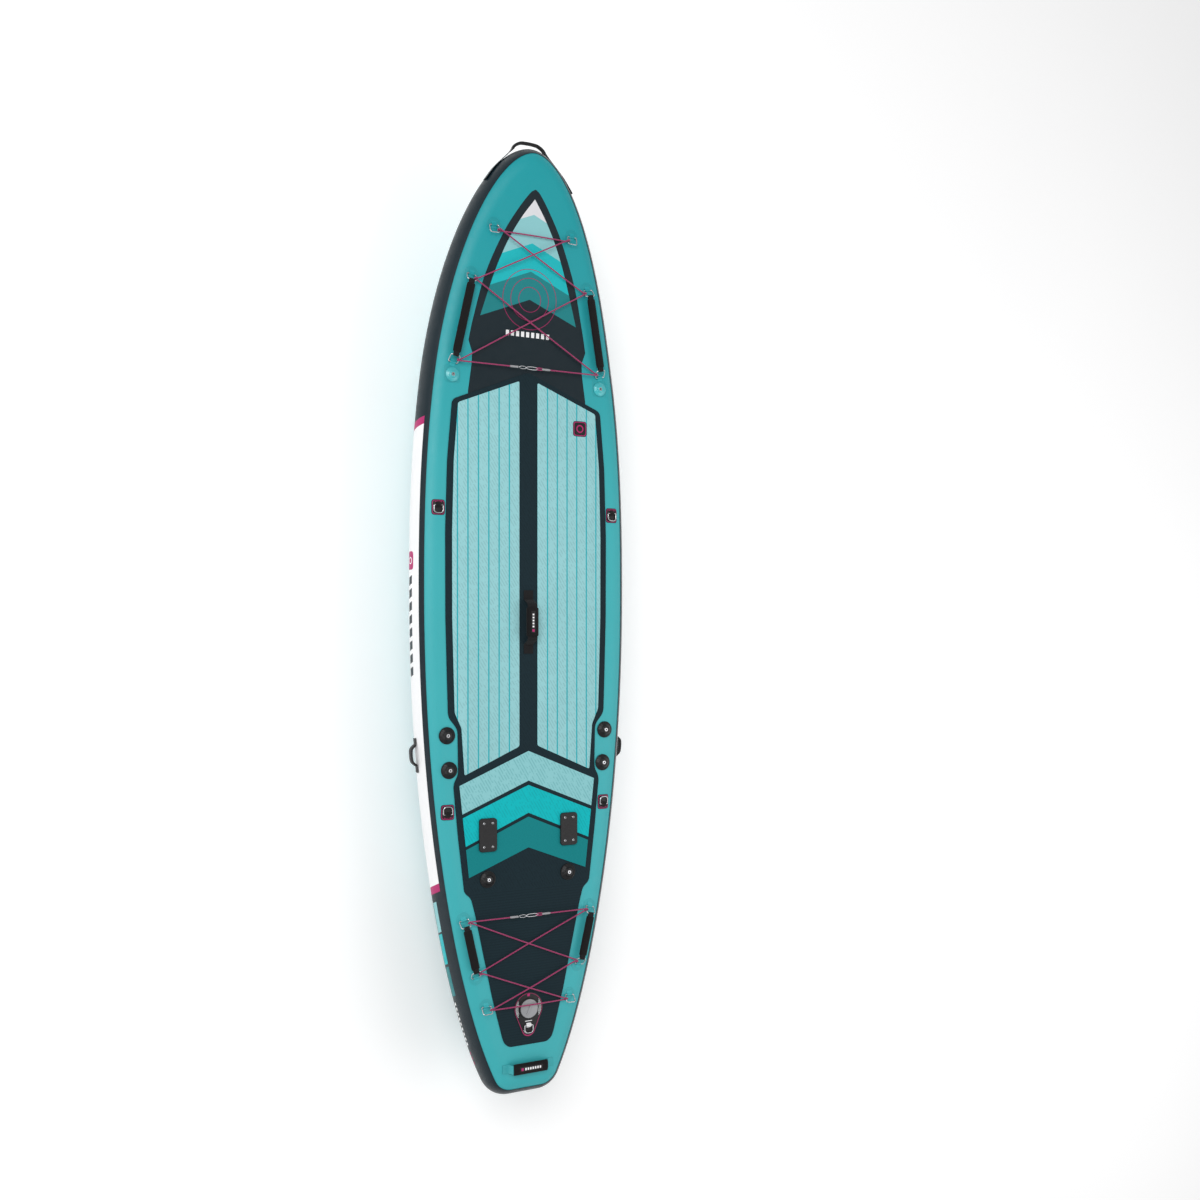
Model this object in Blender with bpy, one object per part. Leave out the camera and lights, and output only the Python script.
"""Inflatable stand up paddleboard, deck up as it floats. Metres, +Z up, +Y to the nose, +X starboard.

The origin is under the middle of the board, level with the tip of the centre fin.
"""

import math

import bpy
import numpy as np

# Hull. The plan is a flat panel outline with a half-round rail carried round it.
RAIL_R = 0.076  # outer radius of the rail bands, half the hull's thickness
SKIN_R = 0.0743  # outer radius of the deck and bottom skins, under the bands
SKIN_T = 0.0013
BAND_T = 0.0014
BAND_EDGE = 52.0  # degrees above and below the rail's widest line
SKIN_EDGE = 40.0
FIN_DEPTH = 0.236
MID_Z = FIN_DEPTH + SKIN_R
DECK_Z = MID_Z + SKIN_R
FLOOR_Z = MID_Z - SKIN_R
PANEL_HALF = 0.356  # widest half-width of the flat panel
NOSE_PLAN = (0.100, 1.561, 2.52, 1.602)  # start y, length, two powers
TAIL_PLAN = (0.109, 1.897, 2.05, 1.453)
TRANSOM_Y = -1.688
ROCKER_Y, ROCKER_K, ROCKER_POWER = 0.925, 0.132, 1.6

GAP = 0.0003
PAD_T = 0.0030
INLAY_T = 0.0020
PAD_Z = DECK_Z + GAP
INLAY_Z = PAD_Z + PAD_T + GAP
INLAY_TOP = INLAY_Z + INLAY_T
GROOVE_PITCH, GROOVE_W, GROOVE_D = 0.041, 0.005, 0.0012

# Half outlines of the foam pads, as (x, y) from the centre line outward.
PAD_HALF = (
    (0.302, 0.793), (0.321, 0.576), (0.3285, 0.315), (0.3275, 0.010), (0.322, -0.200),
    (0.3175, -0.350), (0.281, -0.395), (0.278, -0.558), (0.2975, -0.594), (0.2795, -0.780),
    (0.2545, -0.988), (0.229, -1.008), (0.2135, -1.064), (0.1445, -1.382), (0.104, -1.535),
    (0.096, -1.555), (0.077, -1.570),
)
PAD_APEX_Y = 0.917
INLAY = (
    (0.037, 0.881), (0.037, -0.466), (0.255, -0.563), (0.267, -0.392), (0.293, -0.335),
    (0.297, -0.200), (0.3025, 0.010), (0.303, 0.317), (0.2965, 0.576), (0.280, 0.783),
)
CHEVRONS = (  # apex y, end x, end y of each edge, from the nose end
    (-0.484, 0.275, -0.599), (-0.594, 0.265, -0.703), (-0.610, 0.265, -0.717),
    (-0.713, 0.252, -0.821), (-0.727, 0.252, -0.833), (-0.841, 0.238, -0.934),
)

# Rings: bar width and reach of the wire's centre line, and the wire.
WIRE_R = 0.002
RING_W, RING_L = 0.036, 0.030
BAR_H = 0.004  # bar's height over the skin
SADDLE_W = 0.020
# name, bar (x, y), point the ring reaches towards (x, y), tilt in degrees, patch radius
CARGO = (
    ("front_1", (0.158, 1.428), (0.150, 1.20), 25.0, 0.026),
    ("front_2", (0.236, 1.245), (0.300, 0.925), 38.0, 0.027),
    ("front_3", (0.300, 0.925), (0.236, 1.245), 38.0, 0.0),
    ("rear_1", (0.257, -1.085), (0.209, -1.297), 38.0, 0.027),
    ("rear_2", (0.209, -1.297), (0.257, -1.085), 38.0, 0.027),
    ("rear_3", (0.170, -1.408), (0.158, -1.60), 38.0, 0.025),
)
SEAT = (("front", (0.354, 0.402), -1.0), ("rear", (0.318, -0.692), 1.0))
CORD_R = 0.0025

MOUNTS = (("mid", 0.322, -0.416, 0), ("aft", 0.3135, -0.541, 0), ("pad", 0.164, -0.945, 1))
MOUNT_R, MOUNT_H = 0.031, 0.015
TEAL_MOUNT = (0.303, 0.881, 0.026, 0.009)
PLATE = (0.165, -0.783, 0.070, 0.122, 0.008)

CORD_OVER_CAP = DECK_Z + 0.0222
VALVE_Y = -1.436
LEASH_Y = -1.498
FINS = (  # name, x, y of box centre, box length, depth, tip overhang aft of the box
    ("centre", 0.0, -1.432, 0.220, FIN_DEPTH, 0.117),
    ("left", -0.237, -1.049, 0.155, 0.128, 0.062),
    ("right", 0.237, -1.049, 0.155, 0.128, 0.062),
)
BOX_W, BOX_H = 0.034, 0.018

TEAL, BOTTOM_TEAL = (0.085, 0.44, 0.47), (0.12, 0.44, 0.48)
NAVY, PAD_DARK, PAD_LIGHT = (0.012, 0.03, 0.038), (0.02, 0.037, 0.045), (0.27, 0.58, 0.6)
BLACK, STEEL, MAGENTA = (0.012, 0.011, 0.012), (0.62, 0.63, 0.65), (0.50, 0.03, 0.17)
GREY, CYAN, WHITE = (0.35, 0.35, 0.36), (0.03, 0.5, 0.52), (0.8, 0.8, 0.8)


# --- scene and mesh helpers -------------------------------------------------------------------


def clear():
    for obj in list(bpy.data.objects):
        bpy.data.objects.remove(obj)


def collections():
    made = []
    for name in ("paddleboard", "cutters"):
        coll = bpy.data.collections.new(name)
        bpy.context.scene.collection.children.link(coll)
        made.append(coll)
    made[1].hide_render = True
    return made


def material(name, colour, rough=0.5, metal=0.0):
    mat = bpy.data.materials.new(name)
    mat.use_nodes = True
    shader = mat.node_tree.nodes["Principled BSDF"]
    shader.inputs["Base Color"].default_value = (*colour, 1.0)
    shader.inputs["Roughness"].default_value = rough
    shader.inputs["Metallic"].default_value = metal
    return mat


def node(name, shape, colour, origin=(0, 0, 0), rough=0.5, metal=0.0):
    verts, faces = shape
    verts = np.asarray(verts, float) - np.asarray(origin, float)
    mesh = bpy.data.meshes.new(name)
    mesh.from_pydata(verts.tolist(), [], faces)
    mesh.validate()
    mesh.materials.append(material(name, colour, rough, metal))
    obj = bpy.data.objects.new(name, mesh)
    obj.location = origin
    PARTS.objects.link(obj)
    return obj


def helper(shape, name="cutter"):
    verts, faces = shape
    mesh = bpy.data.meshes.new(name)
    mesh.from_pydata(np.asarray(verts).tolist(), [], faces)
    obj = bpy.data.objects.new(name, mesh)
    obj.hide_render = True
    obj.display_type = "WIRE"
    CUTTERS.objects.link(obj)
    return obj


def boolean(obj, shapes, operation):
    for shape in shapes:
        mod = obj.modifiers.new(operation.lower(), "BOOLEAN")
        mod.operation, mod.solver = operation, "EXACT"
        mod.object = helper(shape)


# --- closed shapes as (verts, faces) ----------------------------------------------------------


def loft(sections, closed=False):
    """Rings of points joined in order, with end caps unless the path is closed."""
    n, m = len(sections), len(sections[0])
    verts = np.asarray(sections, float).reshape(-1, 3)
    faces = []
    for i in range(n if closed else n - 1):
        j = (i + 1) % n
        for k in range(m):
            q = (k + 1) % m
            faces.append((i * m + k, i * m + q, j * m + q, j * m + k))
    if not closed:
        faces.append(tuple(range(m))[::-1])
        faces.append(tuple((n - 1) * m + k for k in range(m)))
    return facing_out(verts, faces)


def facing_out(verts, faces):
    total = 0.0
    for face in faces:
        a = verts[face[0]]
        for p, q in zip(face[1:], face[2:]):
            total += np.dot(a, np.cross(verts[p], verts[q]))
    return verts, [f[::-1] for f in faces] if total < 0 else faces


def unit(v):
    v = np.asarray(v, float)
    return v / np.linalg.norm(v)


def tangents(path, closed):
    if closed:
        step = np.roll(path, -1, 0) - np.roll(path, 1, 0)
    else:
        step = np.gradient(path, axis=0)
    return step / np.linalg.norm(step, axis=1)[:, None]


def tube(path, radius, sides=6, closed=False):
    """A round wire along a path, with the frame carried along without twist."""
    path = np.asarray(path, float)
    tans = tangents(path, closed)
    side = unit(np.cross(tans[0], (0.3, 0.2, 0.93)))
    frames = []
    for t in tans:
        side = unit(side - t * np.dot(side, t))
        frames.append(side)
    twist = 0.0
    if closed:
        last = unit(frames[-1] - tans[0] * np.dot(frames[-1], tans[0]))
        twist = math.atan2(
            np.dot(np.cross(last, frames[0]), tans[0]), np.dot(last, frames[0])
        )
    sections = []
    for i, (p, t, s) in enumerate(zip(path, tans, frames)):
        turn = twist * i / len(path)
        up = np.cross(t, s)
        angles = np.arange(sides) * 2 * math.pi / sides + turn
        sections.append([p + radius * (math.cos(a) * s + math.sin(a) * up) for a in angles])
    return loft(sections, closed)


def strap(path, across, widths, thicks, closed=False, corner=0.3):
    """Webbing along a path: a chamfered rectangle, its width along one fixed direction."""
    path, across = np.asarray(path, float), unit(across)
    tans = tangents(path, closed)
    widths = np.broadcast_to(widths, len(path))
    thicks = np.broadcast_to(thicks, len(path))
    sections = []
    for p, t, w, h in zip(path, tans, widths, thicks):
        up = unit(np.cross(t, across))
        c = corner * h
        pts = (
            (-w / 2, -h / 2 + c), (-w / 2 + c, -h / 2), (w / 2 - c, -h / 2), (w / 2, -h / 2 + c),
            (w / 2, h / 2 - c), (w / 2 - c, h / 2), (-w / 2 + c, h / 2), (-w / 2, h / 2 - c),
        )
        sections.append([p + a * across + b * up for a, b in pts])
    return loft(sections, closed)


def prism(outline, z0, z1):
    outline = np.asarray(outline, float)
    low = np.column_stack([outline, np.full(len(outline), z0)])
    high = np.column_stack([outline, np.full(len(outline), z1)])
    return loft([low, high])


def revolve(profile, centre, steps=28):
    """A closed (r, z) profile turned about a vertical axis. It may not touch the axis."""
    sections = []
    for i in range(steps):
        a = 2 * math.pi * i / steps
        sections.append(
            [(centre[0] + r * math.cos(a), centre[1] + r * math.sin(a), z) for r, z in profile]
        )
    return loft(sections, closed=True)


def disc_stack(levels, centre, steps=28):
    """Stacked circles (r, z) with caps: a solid turned piece."""
    angles = np.arange(steps) * 2 * math.pi / steps
    return loft(
        [
            [(centre[0] + r * math.cos(a), centre[1] + r * math.sin(a), z) for a in angles]
            for r, z in levels
        ]
    )


def rounded_rect(cx, cy, w, h, r, steps=4):
    pts = []
    for k, (sx, sy) in enumerate(((1, 1), (-1, 1), (-1, -1), (1, -1))):
        for i in range(steps + 1):
            a = math.pi / 2 * (k + i / steps)
            pts.append(
                (cx + sx * (w / 2 - r) + r * math.cos(a), cy + sy * (h / 2 - r) + r * math.sin(a))
            )
    return pts


def box(low, high):
    (x0, y0, z0), (x1, y1, z1) = low, high
    return prism([(x0, y0), (x1, y0), (x1, y1), (x0, y1)], z0, z1)


def moved(shape, frame):
    """A shape given in a local frame (origin, u, w, n) put in its place."""
    origin, u, w, n = frame
    verts = np.asarray(shape[0])
    return origin + verts[:, :1] * u + verts[:, 1:2] * w + verts[:, 2:] * n, shape[1]


# --- hull -------------------------------------------------------------------------------------


def rocker(y):
    return ROCKER_K * max(y - ROCKER_Y, 0.0) ** ROCKER_POWER


def panel_half(y):
    start, length, p, q = NOSE_PLAN if y > 0.105 else TAIL_PLAN
    t = min(abs(y - start) / length, 1.0)
    return PANEL_HALF * (1 - t**p) ** (1 / q)


def surface_z(x, y, deck=True, lift=0.0):
    """Height of the deck or bottom skin, lifted outward by a little."""
    over = max(abs(x) - panel_half(y), 0.0)
    r = SKIN_R + lift
    up = math.sqrt(max(r * r - over * over, 1e-8))
    return MID_Z + rocker(y) + (up if deck else -up)


def panel_curve():
    """Starboard edge of the flat panel, from the transom's corner to the nose, finely."""
    corner = np.array((panel_half(TRANSOM_Y), TRANSOM_Y))
    first = corner + (-0.016, 0.0)
    sides = [(panel_half(y), y) for y in np.linspace(TRANSOM_Y + 0.016, 1.2, 1200)]
    start, length, p, q = NOSE_PLAN
    t0 = (1.2 - start) / length
    for phi in np.linspace(math.asin(t0 ** (p / 2)), math.radians(89.7), 900)[1:]:
        x = PANEL_HALF * math.cos(phi) ** (2 / q)
        sides.append((x, start + length * math.sin(phi) ** (2 / p)))
    bend = [
        (1 - s) ** 2 * first + 2 * s * (1 - s) * corner + s * s * np.array(sides[0])
        for s in np.linspace(0, 1, 40)[:-1]
    ]
    return np.array(bend + sides)


def stations():
    """(points, outward normals) along the starboard edge, closer where it turns."""
    curve = panel_curve()
    step = np.gradient(curve, axis=0)
    step /= np.linalg.norm(step, axis=1)[:, None]
    normal = np.column_stack([step[:, 1], -step[:, 0]])
    angle = np.unwrap(np.arctan2(normal[:, 1], normal[:, 0]))
    length = np.linalg.norm(np.diff(curve, axis=0), axis=1)
    metric = np.concatenate([[0], np.cumsum(length / 0.17 + np.abs(np.diff(angle)) / 0.26)])
    count = int(math.ceil(metric[-1])) + 1
    at = np.linspace(0, metric[-1], count)
    start = metric[np.argmin(np.abs(curve[:, 1] - ROCKER_Y) + (curve[:, 0] < 0.1))]
    at[np.argmin(np.abs(at - start))] = start  # one row of corners where the rocker starts
    points = np.column_stack([np.interp(at, metric, curve[:, k]) for k in range(2)])
    turn = np.interp(at, metric, angle)
    turn[0], turn[-1] = -math.pi / 2, math.pi / 2
    return points, np.column_stack([np.cos(turn), np.sin(turn)])


def rail_point(p, n, radius, angle):
    a = math.radians(angle)
    x, y = p + n * radius * math.cos(a)
    return (x, y, MID_Z + rocker(p[1]) + radius * math.sin(a))


def skin(sign):
    """Deck (sign 1) or bottom (sign -1): a flat panel turned down over the rail, as a thin shell."""
    points, normals = stations()
    loop = [(p, n) for p, n in zip(points, normals)]
    mirror = np.array((-1.0, 1.0))
    loop += [(p * mirror, n * mirror) for p, n in loop[::-1]]
    count, half = len(loop), len(points)
    angles = np.linspace(90.0, SKIN_EDGE, 5) * sign
    verts = [rail_point(p, n, SKIN_R, a) for a in angles for p, n in loop]
    verts += [rail_point(p, n, SKIN_R - SKIN_T, a) for a in angles for p, n in loop]
    inner, faces = len(angles) * count, []
    for base, flip in ((0, False), (inner, True)):
        patch = []
        for i in range(half - 1):
            patch.append((i, i + 1, count - 2 - i, count - 1 - i))
        for r in range(len(angles) - 1):
            for i in range(count):
                j = (i + 1) % count
                a, b = r * count, (r + 1) * count
                patch.append((a + j, a + i, b + i, b + j))
        faces += [tuple(base + k for k in (f[::-1] if flip else f)) for f in patch]
    edge = (len(angles) - 1) * count
    for i in range(count):
        j = (i + 1) % count
        faces.append((edge + j, edge + i, inner + edge + i, inner + edge + j))
    return facing_out(np.array(verts), faces)


def rail_band(side):
    points, normals = stations()
    first = (np.array((GAP / 2, points[0][1])), normals[0])
    last = (np.array((GAP / 2, points[-1][1])), normals[-1])
    run = [first] + list(zip(points, normals)) + [last]
    mirror = np.array((side, 1.0))
    outer = np.linspace(BAND_EDGE, -BAND_EDGE, 9)
    sections = []
    for p, n in run:
        p, n = p * mirror, n * mirror
        ring = [rail_point(p, n, RAIL_R, a) for a in outer]
        ring += [rail_point(p, n, RAIL_R - BAND_T, a) for a in outer[::-1]]
        sections.append(ring)
    return loft(sections)


def stitch_core():
    """Rows of drop threads, drawn as one cloth folded up and down between the skins."""
    ys = np.arange(-1.66, 1.60, 0.045)
    clear_z, thick = SKIN_R - SKIN_T - 0.0008, 0.0012
    top, low = [], []
    for i, y in enumerate(ys):
        w = panel_half(y) - 0.012
        z = MID_Z + rocker(y) + (clear_z - thick / 2 if i % 2 else -clear_z + thick / 2)
        z -= 0.0008 if i % 2 else -0.0008
        top.append([(-w, y, z + thick / 2), (w, y, z + thick / 2)])
        low.append([(w, y, z - thick / 2), (-w, y, z - thick / 2)])
    return loft([a + b for a, b in zip(top, low)])


# --- patches, saddles and rings ---------------------------------------------------------------


def skin_frame(x, y, aim, deck=True, reach=0.014):
    """Local frame on a skin: u along a ring's bar, w towards the aim, n out of the skin."""
    def z(a, b):
        return surface_z(a, b, deck)

    sign = 1.0 if deck else -1.0
    zx = (z(x + reach, y) - z(x - reach, y)) / (2 * reach)
    zy = (z(x, y + reach) - z(x, y - reach)) / (2 * reach)
    n = unit((-zx * sign, -zy * sign, sign))
    w = np.array((aim[0] - x, aim[1] - y, 0.0))
    w = unit(w - n * np.dot(w, n))
    middle = (z(x + reach, y) + z(x - reach, y)) / 2 * 0.5 + z(x, y) * 0.5
    return np.array((x, y, middle)), np.cross(w, n), w, n


def draped(outline, centre, deck=True, up=0.0010, down=0.0007, rings=2):
    """A welded patch that follows the skin."""
    outline = np.asarray(outline, float)
    centre = np.asarray(centre, float)
    levels = [centre + (outline - centre) * k / rings for k in range(1, rings + 1)]
    m, verts = len(outline), []
    for lift in (up, -down):
        verts.append((*centre, surface_z(*centre, deck, lift)))
        verts += [(x, y, surface_z(x, y, deck, lift)) for ring in levels for x, y in ring]
    faces, low = [], 1 + rings * m
    for base, flip in ((0, False), (low, True)):
        patch = [(0, 1 + i, 1 + (i + 1) % m) for i in range(m)]
        for r in range(rings - 1):
            a, b = 1 + r * m, 1 + (r + 1) * m
            for i in range(m):
                j = (i + 1) % m
                patch += [(a + i, b + i, b + j), (a + i, b + j, a + j)]
        faces += [tuple(base + k for k in (f[::-1] if flip else f)) for f in patch]
    edge = 1 + (rings - 1) * m
    for i in range(m):
        j = (i + 1) % m
        faces.append((edge + i, low + edge + i, low + edge + j, edge + j))
    return facing_out(np.array(verts), faces)


def saddle(frame, back=0.014, front=0.012, width=SADDLE_W, height=BAR_H):
    """The webbing that holds a ring's bar: a flat tab and a short tunnel. Two shapes."""
    angles = (np.arange(8) + 0.5) * 2 * math.pi / 8
    ring = []
    for r in (0.0040, 0.0026):
        ring.append([[(x, r * math.cos(a), height + r * math.sin(a)) for a in angles]
                     for x in (-width / 2, width / 2)])
    verts = np.array(ring[0][0] + ring[0][1] + ring[1][0] + ring[1][1])
    faces = []
    for i in range(8):
        j = (i + 1) % 8
        faces += [(i, j, 8 + j, 8 + i), (16 + j, 16 + i, 24 + i, 24 + j),
                  (j, i, 16 + i, 16 + j), (8 + i, 8 + j, 24 + j, 24 + i)]
    tunnel = facing_out(verts, faces)
    tab = box((-width / 2, -back, -0.0008), (width / 2, front, 0.0014))
    return [moved(tunnel, frame), moved(tab, frame)]


def ring_path(width=RING_W, length=RING_L, near=0.004, far=0.007, steps=3):
    """Centre line of a ring in its own plane: the bar on y = 0, the rest towards +y."""
    corners = (
        (width / 2, 0, near, -90), (width / 2, length, far, 0),
        (-width / 2, length, far, 90), (-width / 2, 0, near, 180),
    )
    pts = []
    for x, y, r, start in corners:
        cx, cy = x - math.copysign(r, x), y + (r if y == 0 else -r)
        for i in range(steps + 1):
            a = math.radians(start + 90 * i / steps)
            pts.append((cx + r * math.cos(a), cy + r * math.sin(a)))
    return np.array(pts)


def ring_points(frame, tilt, path, height=BAR_H):
    origin, u, w, n = frame
    t = math.radians(tilt)
    rise = w * math.cos(t) + n * math.sin(t)
    return [origin + n * height + u * a + rise * b for a, b in path]


def cargo_frames():
    """name -> (frame, tilt, patch radius) for every cargo ring, both sides."""
    found = {}
    for name, bar, aim, tilt, patch in CARGO:
        for side, s in (("left", -1), ("right", 1)):
            frame = skin_frame(s * bar[0], bar[1], (s * aim[0], aim[1]))
            found[f"{name}_{side}"] = (frame, tilt, patch)
    return found


def circle(cx, cy, r, steps=12):
    return [
        (cx + r * math.cos(2 * math.pi * i / steps), cy + r * math.sin(2 * math.pi * i / steps))
        for i in range(steps)
    ]


# --- assemblies -------------------------------------------------------------------------------


def build_hull(frames):
    deck = node("deck_skin", skin(1), TEAL, rough=0.45)
    welds = []
    for name, (frame, _, patch) in frames.items():
        origin, w = frame[0], frame[2]
        if patch:
            x, y = origin[:2] - w[:2] * 0.002
            welds.append(draped(circle(x, y, patch), (x, y)))
        welds += saddle(frame)
    for s in (-1, 1):
        x, y, r, _ = TEAL_MOUNT
        square = rounded_rect(s * (x - 0.002), y + 0.004, 0.062, 0.066, 0.008, 2)
        welds.append(draped(square, (s * (x - 0.002), y + 0.004)))
        for _, (cx, cy), way in SEAT:
            square = rounded_rect(s * cx, cy, 0.050, 0.056, 0.010, 2)
            welds.append(draped(square, (s * cx, cy), up=0.0012))
            bar = skin_frame(s * cx, cy - way * 0.008, (s * cx, cy + way))
            welds += saddle(bar, front=0.010)
    boolean(deck, welds, "UNION")
    boolean(deck, [disc_stack([(0.0305, DECK_Z - 0.02), (0.0305, DECK_Z + 0.02)],
                              (0, VALVE_Y))], "DIFFERENCE")

    bottom = node("bottom_skin", skin(-1), BOTTOM_TEAL, rough=0.45)
    tow = skin_frame(0, 1.632, (0, 1.0), deck=False)
    boolean(bottom, [draped(circle(0, 1.630, 0.030), (0, 1.630), deck=False)] + saddle(tow), "UNION")
    for side, s in (("left", -1), ("right", 1)):
        node(f"rail_band_{side}", rail_band(s), NAVY, rough=0.4)
    core = node("drop_stitch_core", stitch_core(), WHITE, rough=0.9)
    boolean(core, [disc_stack([(0.034, FLOOR_Z), (0.034, DECK_Z)], (0, VALVE_Y))], "DIFFERENCE")
    return tow


def mirrored(half):
    """A closed outline from its starboard half, listed from nose to tail."""
    return list(half) + [(-x, y) for x, y in half[::-1]]


def build_pads():
    base = node(
        "pad_base", prism([(0, PAD_APEX_Y)] + mirrored(PAD_HALF), PAD_Z, PAD_Z + PAD_T),
        PAD_DARK, rough=0.85,
    )
    boolean(base, [disc_stack([(0.0305, PAD_Z - 0.01), (0.0305, PAD_Z + 0.02)],
                              (0, VALVE_Y))], "DIFFERENCE")
    for side, s in (("left", -1), ("right", 1)):
        pad = node(f"pad_{side}", prism([(s * x, y) for x, y in INLAY], INLAY_Z, INLAY_TOP),
                   PAD_LIGHT, rough=0.85)
        cuts = []
        for k in range(1, 7):
            x = s * (0.037 + GROOVE_PITCH * k)
            cuts.append(box((x - GROOVE_W / 2, -0.7, INLAY_TOP - GROOVE_D),
                            (x + GROOVE_W / 2, 1.0, INLAY_TOP + 0.01)))
        boolean(pad, cuts, "DIFFERENCE")
    (a, ax, ay), (f, fx, fy) = CHEVRONS[0], CHEVRONS[-1]
    outline = [(0, a), (ax, ay), (fx, fy), (0, f), (-fx, fy), (-ax, ay)]
    chevrons = node("pad_chevrons", prism(outline, INLAY_Z, INLAY_TOP), CYAN, rough=0.85)
    cuts = []
    for (p, px, py), (q, qx, qy) in (CHEVRONS[1:3], CHEVRONS[3:5]):
        k = 1.3
        cut = [(0, p), (px * k, p + (py - p) * k), (qx * k, q + (qy - q) * k), (0, q),
               (-qx * k, q + (qy - q) * k), (-px * k, p + (py - p) * k)]
        cuts.append(prism(cut, INLAY_TOP - GROOVE_D, INLAY_TOP + 0.01))
    boolean(chevrons, cuts, "DIFFERENCE")


def build_rings(frames):
    for name, (frame, tilt, _) in frames.items():
        points = ring_points(frame, tilt, ring_path())
        node(f"ring_{name}", tube(points, WIRE_R, 6, True), STEEL, rough=0.25, metal=1.0)
    for name, (cx, cy), way in SEAT:
        for side, s in (("left", -1), ("right", 1)):
            frame = skin_frame(s * cx, cy - way * 0.008, (s * cx, cy + way))
            free_ring(f"seat_ring_{name}_{side}", frame, 3.0, BAR_H)


def free_ring(name, frame, tilt, height):
    path = ring_path(0.034, 0.028, 0.004, 0.012)
    points = ring_points(frame, tilt, path, height)
    axis = frame[0] + frame[3] * height
    node(name, tube(points, WIRE_R, 6, True), STEEL, axis, 0.25, 1.0)


def side_grip(name, ring_a, ring_b):
    """A padded sleeve on webbing whose two ends are looped round the far bars of two rings."""
    ends = []
    for frame, tilt, _ in (ring_a, ring_b):
        ends.append(np.array(ring_points(frame, tilt, [(0, RING_L)])[0]))
    a, b = ends
    along = unit(b - a)
    across = unit(np.cross((0, 0, 1), along))
    up = np.cross(along, across)
    r, path = WIRE_R + 0.0018, []
    for end, way in ((a, -1), (b, 1)):
        for deg in np.linspace(-90, 90, 7):
            t = math.radians(deg)
            path.append(end + way * along * r * math.cos(t) + way * up * r * math.sin(t))
    belt = strap(path, across, 0.020, 0.0020, closed=True)
    obj = node(name, belt, BLACK, rough=0.9)
    sleeve = [a + along * 0.012, a + along * 0.016, b - along * 0.016, b - along * 0.012]
    boolean(obj, [strap(sleeve, across, (0.026, 0.031, 0.031, 0.026),
                        (0.010, 0.013, 0.013, 0.010))], "UNION")


def build_handles(frames):
    for end, first, second in (("front", "front_2", "front_3"), ("rear", "rear_1", "rear_2")):
        for side in ("left", "right"):
            side_grip(f"side_grip_{end}_{side}", frames[f"{first}_{side}"],
                      frames[f"{second}_{side}"])

    # Carry handle on the pad's middle strip, and the padded grip round its webbing.
    z, top = PAD_Z + PAD_T + GAP + 0.00125, 0.034
    path = [(0, -0.117, z), (0, -0.092, z), (0, -0.083, z + 0.002), (0, -0.070, z + top - 0.008),
            (0, -0.062, z + top - 0.001), (0, -0.050, z + top), (0, 0.050, z + top),
            (0, 0.062, z + top - 0.001), (0, 0.070, z + top - 0.008), (0, 0.083, z + 0.002),
            (0, 0.092, z), (0, 0.117, z)]
    path = np.array(path) + (0, -0.007, 0)
    node("carry_strap", strap(path, (1, 0, 0), 0.038, 0.0025), BLACK, rough=0.9)
    middle = np.array((0, -0.007, z + top))
    grip = node("carry_grip",
                strap([middle + (0, y, 0) for y in (-0.052, -0.048, 0.048, 0.052)], (1, 0, 0),
                      (0.042, 0.047, 0.047, 0.042), (0.012, 0.017, 0.017, 0.012)),
                BLACK, rough=0.9)
    boolean(grip, [box(middle - (0.0194, 0.1, 0.0016), middle + (0.0194, 0.1, 0.0016))],
            "DIFFERENCE")

    # Tail handle across the deck.
    z = DECK_Z + GAP + 0.00125
    half = [(0.103, z), (0.088, z), (0.079, z + 0.003), (0.073, z + 0.015), (0.069, z + 0.0205),
            (0.060, z + 0.022)]
    path = [(x, -1.650, h) for x, h in half] + [(-x, -1.650, h) for x, h in half[::-1]]
    widths = [0.032, 0.032, 0.034, 0.039, 0.040, 0.040]
    thicks = [0.0025, 0.0025, 0.006, 0.012, 0.016, 0.016]
    node("tail_handle", strap(path, (0, 1, 0), widths + widths[::-1], thicks + thicks[::-1]),
         BLACK, rough=0.9)

    # Nose loop: webbing welded to both rails, carried round in front of the nose.
    z = MID_Z + rocker(1.661)
    half = []
    for y in (1.560, 1.590, 1.612):
        x = panel_half(y)
        slope = (panel_half(y + 0.002) - panel_half(y - 0.002)) / 0.004
        n = unit((1.0, -slope))
        p = np.array((x, y)) + n * (RAIL_R + GAP + 0.0018)
        half.append((p[0], p[1]))
    half += [(0.074, 1.722), (0.058, 1.744), (0.038, 1.7565), (0.018, 1.760)]
    path = [(x, y, z) for x, y in half] + [(-x, y, z) for x, y in half[::-1]]
    thicks = [0.003, 0.003, 0.004, 0.006, 0.008, 0.008, 0.008]
    node("nose_handle", strap(path, (0, 0, 1), 0.025, thicks + thicks[::-1]), BLACK, rough=0.9)

    # Rail loops, one each side.
    for side, s in (("left", -1), ("right", 1)):
        y = -0.489
        x = panel_half(y) + RAIL_R + GAP + 0.0016
        run = ((-0.062, 0.0), (-0.043, 0.0), (-0.036, 0.003), (-0.026, 0.014), (-0.014, 0.018),
               (0.014, 0.018), (0.026, 0.014), (0.036, 0.003), (0.043, 0.0), (0.062, 0.0))
        slope = (panel_half(y + 0.05) - panel_half(y - 0.05)) / 0.1
        path = [(s * (x + out + slope * t + 0.0006), y + t, MID_Z) for t, out in run]
        node(f"rail_loop_{side}", strap(path, (0, 0, 1), 0.025, 0.0025), BLACK, rough=0.9)


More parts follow.
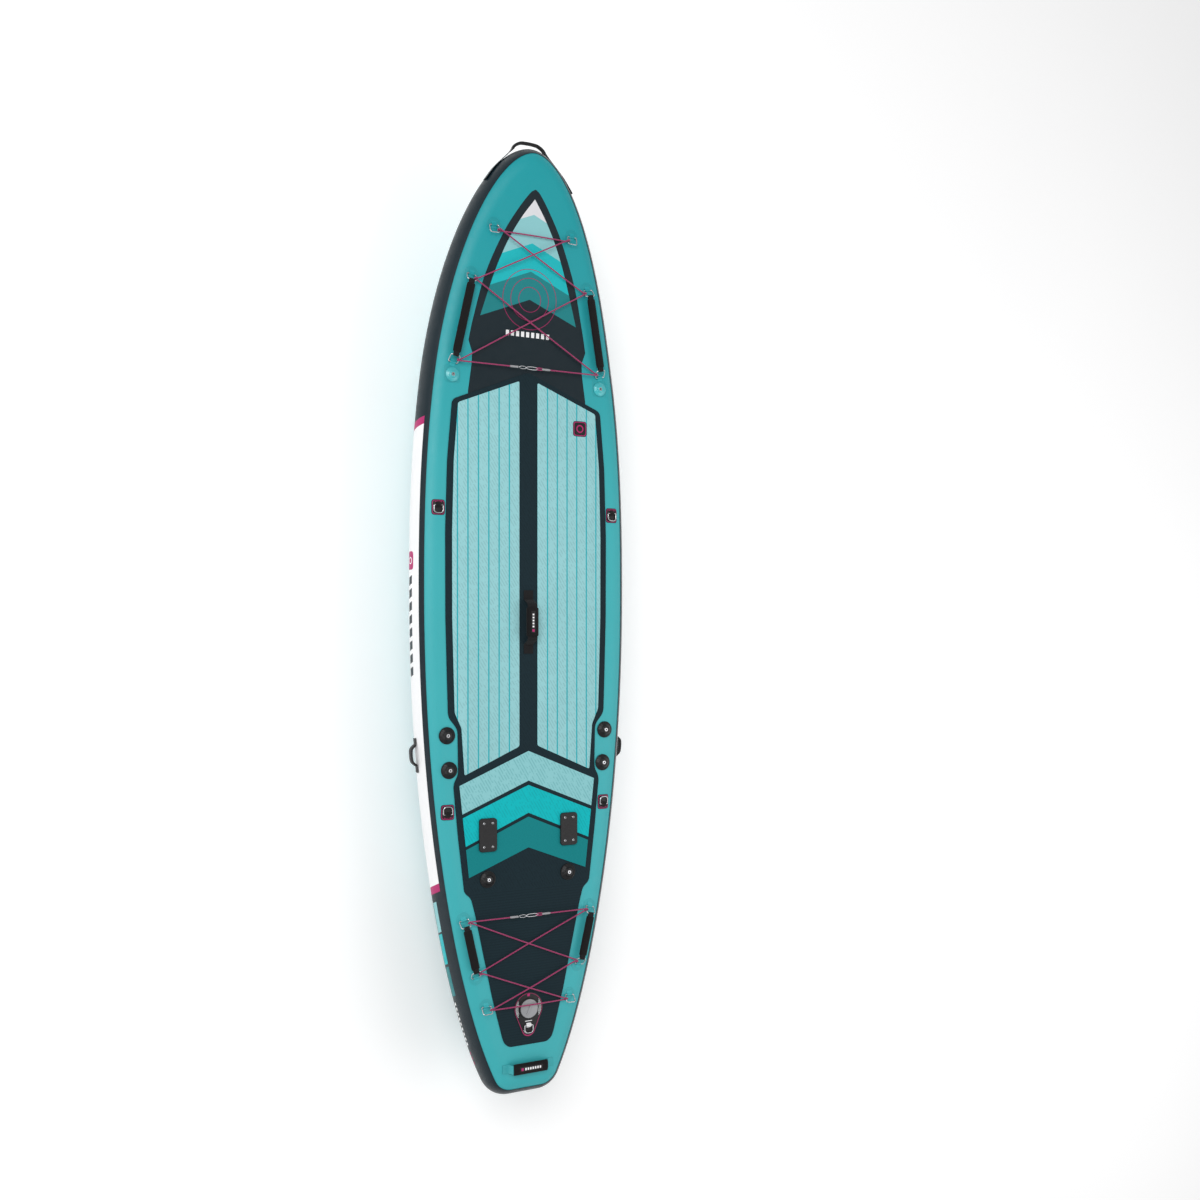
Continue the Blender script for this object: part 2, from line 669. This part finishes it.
def hook(at, wire, toward_in, toward_out, out_low):
    """A cord's turn round a wire: in over it, down its far side, out under it, or the reverse."""
    up = np.array((0, 0, 1.0))
    up = unit(up - wire * np.dot(up, wire))
    near, far = (unit(d - up * np.dot(up, d)) for d in (toward_in, toward_out))
    back = -(near + far)
    back = unit(back - wire * np.dot(back, wire))
    r = WIRE_R + CORD_R + 0.0008
    up = up * (1 if out_low else -1)
    return [
        at + near * 0.016 + up * r * 0.95, at + near * 0.003 + up * r,
        at + back * r * 0.75 + up * r * 0.70, at + back * r * 1.03,
        at + back * r * 0.75 - up * r * 0.70, at + far * 0.003 - up * r,
        at + far * 0.016 - up * r * 0.95,
    ]


def cord_route(frames, order, over):
    """The bungee's closed route through rings. Its middle span may pass over a height."""
    holds = []
    for name in order:
        frame, tilt, _ = frames[name]
        inboard = -1 if frame[0][0] * frame[1][0] > 0 else 1
        far = 0.016 if tilt > 30 else 0.019
        pair = ring_points(frame, tilt, [(inboard * RING_W / 2, d) for d in (far, far + 0.001)])
        holds.append((pair[0], unit(pair[1] - pair[0])))
    points, count = [], len(holds)
    for i, (at, wire) in enumerate(holds):
        before, after = holds[i - 1][0], holds[(i + 1) % count][0]
        low = i % 2 == 0
        points += hook(at, wire, (before - at) * (1, 1, 0), (after - at) * (1, 1, 0), low)
        if i < count - 1:
            start, end = points[-1], after
            height = 0.010 if i % 2 == 0 else 0.017
            middle = (start + end) / 2
            if over and i == count // 2 - 1:
                points += [np.array((s * 0.038, at[1], over)) for s in (-1, 1)]
            else:
                ground = surface_z(0, middle[1]) + PAD_T
                z = max(ground + height - 0.003, middle[2] - 0.004)
                points.append(np.array((*middle[:2], z)))
    return np.array(points)


def build_cords(frames):
    front = ["front_3_left", "front_2_right", "front_1_left", "front_1_right", "front_2_left",
             "front_3_right"]
    rear = ["rear_1_left", "rear_2_right", "rear_3_left", "rear_3_right", "rear_2_left",
            "rear_1_right"]
    for name, order, over in (("bungee_front", front, 0.0), ("bungee_rear", rear, CORD_OVER_CAP)):
        route = cord_route(frames, order, over)
        node(name, tube(route, CORD_R, 6, True), MAGENTA, rough=0.8)


def build_mounts():
    for name, x, y, on_pad in MOUNTS:
        for side, s in (("left", -1), ("right", 1)):
            levels = [(MOUNT_R, 0.0), (MOUNT_R, 0.0025), (0.024, 0.0065), (0.017, MOUNT_H - 0.002),
                      (0.0150, MOUNT_H)]
            if on_pad:
                frame = (np.array((s * x, y, PAD_Z + PAD_T + GAP)), np.array((1.0, 0, 0)),
                         np.array((0, 1.0, 0)), np.array((0, 0, 1.0)))
            else:
                frame = skin_frame(s * x, y, (s * x, y + 1), reach=0.026)
                frame = (frame[0] + frame[3] * 0.0018, *frame[1:])
            solid = moved(disc_stack(levels, (0, 0), 20), frame)
            obj = node(f"action_mount_{name}_{side}", solid, BLACK, rough=0.6)
            hole = moved(disc_stack([(0.0032, 0.004), (0.0032, 0.03)], (0, 0), 12), frame)
            boolean(obj, [hole], "DIFFERENCE")
    x, y, r, h = TEAL_MOUNT
    for side, s in (("left", -1), ("right", 1)):
        frame = skin_frame(s * (x - 0.002), y, (s * x, y + 1), reach=0.02)
        frame = (frame[0] + frame[3] * 0.0022, *frame[1:])
        solid = moved(disc_stack([(r, 0.0), (r, 0.002), (0.020, 0.006), (0.012, h)], (0, 0), 20), frame)
        obj = node(f"front_mount_{side}", solid, TEAL, rough=0.5)
        hole = moved(disc_stack([(0.0032, 0.003), (0.0032, 0.03)], (0, 0), 12), frame)
        boolean(obj, [hole], "DIFFERENCE")
        px, py, w, length, t = PLATE
        z = INLAY_TOP + GAP
        low = rounded_rect(s * px, py, w, length, 0.012)
        high = rounded_rect(s * px, py, w - 0.003, length - 0.003, 0.011)
        solid = loft([[(a, b, z) for a, b in low], [(a, b, z + t - 0.0015) for a, b in low],
                      [(a, b, z + t) for a, b in high]])
        node(f"mount_plate_{side}", solid, BLACK, rough=0.5)


def drop_outline(grow=0.0):
    """Valve patch: a wide circle and a small one joined by their outer tangents."""
    r0, r1 = 0.059 + grow, 0.030 + grow
    y0, y1 = VALVE_Y, VALVE_Y - 0.076
    lean = math.asin((r0 - r1) / (y0 - y1))
    pts = []
    for i in range(17):
        a = -lean + (math.pi + 2 * lean) * i / 16
        pts.append((r0 * math.cos(a), y0 + r0 * math.sin(a)))
    for i in range(9):
        a = math.pi + lean + (math.pi - 2 * lean) * i / 8
        pts.append((r1 * math.cos(a), y1 + r1 * math.sin(a)))
    return pts


def build_valve():
    z = PAD_Z + PAD_T + GAP
    centre = (0.0, VALVE_Y)
    patch = node("valve_patch", prism(drop_outline(), z, z + 0.0016), BLACK, rough=0.6)
    frame = (np.array((0, LEASH_Y, z + 0.0006)), np.array((1.0, 0, 0)), np.array((0, -1.0, 0)),
             np.array((0, 0, 1.0)))
    frame = (frame[0], np.cross(frame[2], frame[3]), frame[2], frame[3])
    boolean(patch, saddle(frame, back=0.008, front=0.008), "UNION")
    boolean(patch, [disc_stack([(0.0305, z - 0.01), (0.0305, z + 0.02)], centre)], "DIFFERENCE")
    free_ring("leash_ring", frame, 4.0, BAR_H)

    # Body: a flange over the patch, a barrel through pad and skin, a floor that guides the stem.
    top = z + 0.0016 + GAP
    seat, floor = top + 0.004, DECK_Z - 0.030
    profile = [(0.0375, top), (0.0375, top + 0.0028), (0.036, seat), (0.0292, seat),
               (0.0292, seat - 0.007), (0.0245, seat - 0.008), (0.0245, floor + 0.003),
               (0.0042, floor + 0.003), (0.0042, floor), (0.0245, floor),
               (0.0245, floor - 0.009), (0.0285, floor - 0.009), (0.0285, top)]
    body = node("valve_body", revolve(profile, centre, 20), BLACK, rough=0.5)
    ports = [
        disc_stack([(0.0050, floor - 0.003), (0.0050, floor + 0.006)],
                   (0.0150 * math.cos(a), VALVE_Y + 0.0150 * math.sin(a)), 8)
        for a in (math.pi / 4, 3 * math.pi / 4, 5 * math.pi / 4, 7 * math.pi / 4)
    ]
    boolean(body, ports, "DIFFERENCE")
    cap = node("valve_cap", disc_stack(
        [(0.0286, seat - 0.0060), (0.0288, seat + GAP), (0.0345, seat + GAP),
         (0.0345, seat + 0.0042), (0.0325, seat + 0.0055)], centre), GREY,
        (0, VALVE_Y, seat), 0.45)
    c, s = math.cos(math.radians(62)), math.sin(math.radians(62))
    bar = (np.array((0, VALVE_Y, 0)), np.array((c, s, 0)), np.array((-s, c, 0)), np.array((0, 0, 1.0)))
    boolean(cap, [moved(box((-0.024, -0.003, seat + 0.005), (0.024, 0.003, seat + 0.0085)), bar)],
            "UNION")
    # Stem: a push button, the rod, and the seal that closes the ports from below.
    node("valve_stem", disc_stack(
        [(0.0100, seat - 0.0075), (0.0100, seat - 0.0095), (0.0039, seat - 0.0096),
         (0.0039, floor - 0.0004), (0.0215, floor - 0.0005), (0.0215, floor - 0.003),
         (0.006, floor - 0.006)][::-1], centre, 20), WHITE, (0, VALVE_Y, floor), 0.5)
    low, high, turns = floor + 0.0030 + 0.0008, seat - 0.0096 - 0.0008, 4
    steps = turns * 8
    helix = [
        (0.0062 * math.cos(math.pi * i / 4), VALVE_Y + 0.0062 * math.sin(math.pi * i / 4),
         low + (high - low) * i / steps)
        for i in range(steps + 1)
    ]
    node("valve_spring", tube(helix, 0.0005, 5), STEEL, (0, VALVE_Y, low), 0.3, 1.0)


def foil(y_front, y_back, thick, z, x, square=False):
    """A symmetric section along Y, as 16 points at one depth."""
    chord = y_front - y_back
    pts = []
    for i in range(16):
        a = 2 * math.pi * i / 16
        along, side = math.cos(a), math.sin(a)
        if square:
            half = thick / 2
            along = math.copysign(min(abs(along) * 1.5, 1.0), along)
            side = math.copysign(min(abs(side) * 3.0, 1.0), side) if abs(side) > 1e-9 else 0.0
            y = y_back + chord * (1 + along) / 2
            pts.append((x + half * side, y, z))
        else:
            t = (1 - along) / 2  # 0 at the front, 1 at the back
            width = thick / 2 * (1.9 * math.sqrt(max(t, 0)) * (1 - t) + 0.25 * (1 - t) ** 2 + 0.06)
            width *= abs(side) ** 0.15 if abs(side) > 1e-9 else 0.0
            pts.append((x + math.copysign(width, side), y_back + chord * (1 - t), z))
    return pts


def build_fins():
    for name, x, y, length, depth, sweep in FINS:
        floor = FLOOR_Z - GAP
        front, back = y + length / 2, y - length / 2
        pill = rounded_rect(x, y, BOX_W, length, BOX_W / 2 - 0.0005, 5)
        slim = rounded_rect(x, y, BOX_W - 0.008, length - 0.008, BOX_W / 2 - 0.005, 5)
        flange = rounded_rect(x, y, BOX_W + 0.010, length + 0.020, BOX_W / 2, 5)
        obj = node(f"fin_box_{name}", loft([
            [(a, b, floor) for a, b in flange], [(a, b, floor - 0.0016) for a, b in flange],
            [(a, b, floor - 0.0022) for a, b in pill], [(a, b, floor - BOX_H + 0.003) for a, b in pill],
            [(a, b, floor - BOX_H) for a, b in slim]]), BLACK, rough=0.5)
        tab = 0.0085
        boolean(obj, [box((x - tab / 2, back + 0.013, floor - BOX_H - 0.01),
                          (x + tab / 2, front - 0.013, floor - 0.0035))], "DIFFERENCE")
        root_f, root_b = front - 0.0135, back + 0.0135
        tab_t = tab - 0.0007
        mouth = floor - BOX_H
        low_z = FLOOR_Z - depth
        sections = [foil(root_f, root_b, tab_t, floor - 0.004, x, True),
                    foil(root_f, root_b, tab_t, mouth - 0.0006, x, True)]
        for s in (0.02, 0.1, 0.22, 0.36, 0.5, 0.64, 0.78, 0.9, 0.97, 1.0):
            z = mouth - 0.0012 + (low_z - mouth + 0.0012) * s
            lead = root_f - (root_f - back + sweep - 0.012) * s**1.55
            trail = root_b + 0.010 * math.sin(math.pi * min(s * 1.2, 1.0)) - (
                root_b - back + sweep) * s**1.9
            thick = tab_t * (1.25 - 0.75 * s)
            if s > 0.95:
                middle = (lead + trail) / 2
                shrink = 0.85 if s < 1 else 0.45
                lead, trail = middle + (lead - middle) * shrink, middle + (trail - middle) * shrink
            sections.append(foil(lead, trail, thick, z, x))
        node(f"fin_{name}", loft(sections), BLACK, (x, y, floor), 0.45)


def main():
    clear()
    global PARTS, CUTTERS
    PARTS, CUTTERS = collections()
    frames = cargo_frames()
    tow = build_hull(frames)
    free_ring("tow_ring", tow, 80.3, BAR_H)  # hangs straight down
    build_pads()
    build_rings(frames)
    build_handles(frames)
    build_cords(frames)
    build_mounts()
    build_valve()
    build_fins()


main()
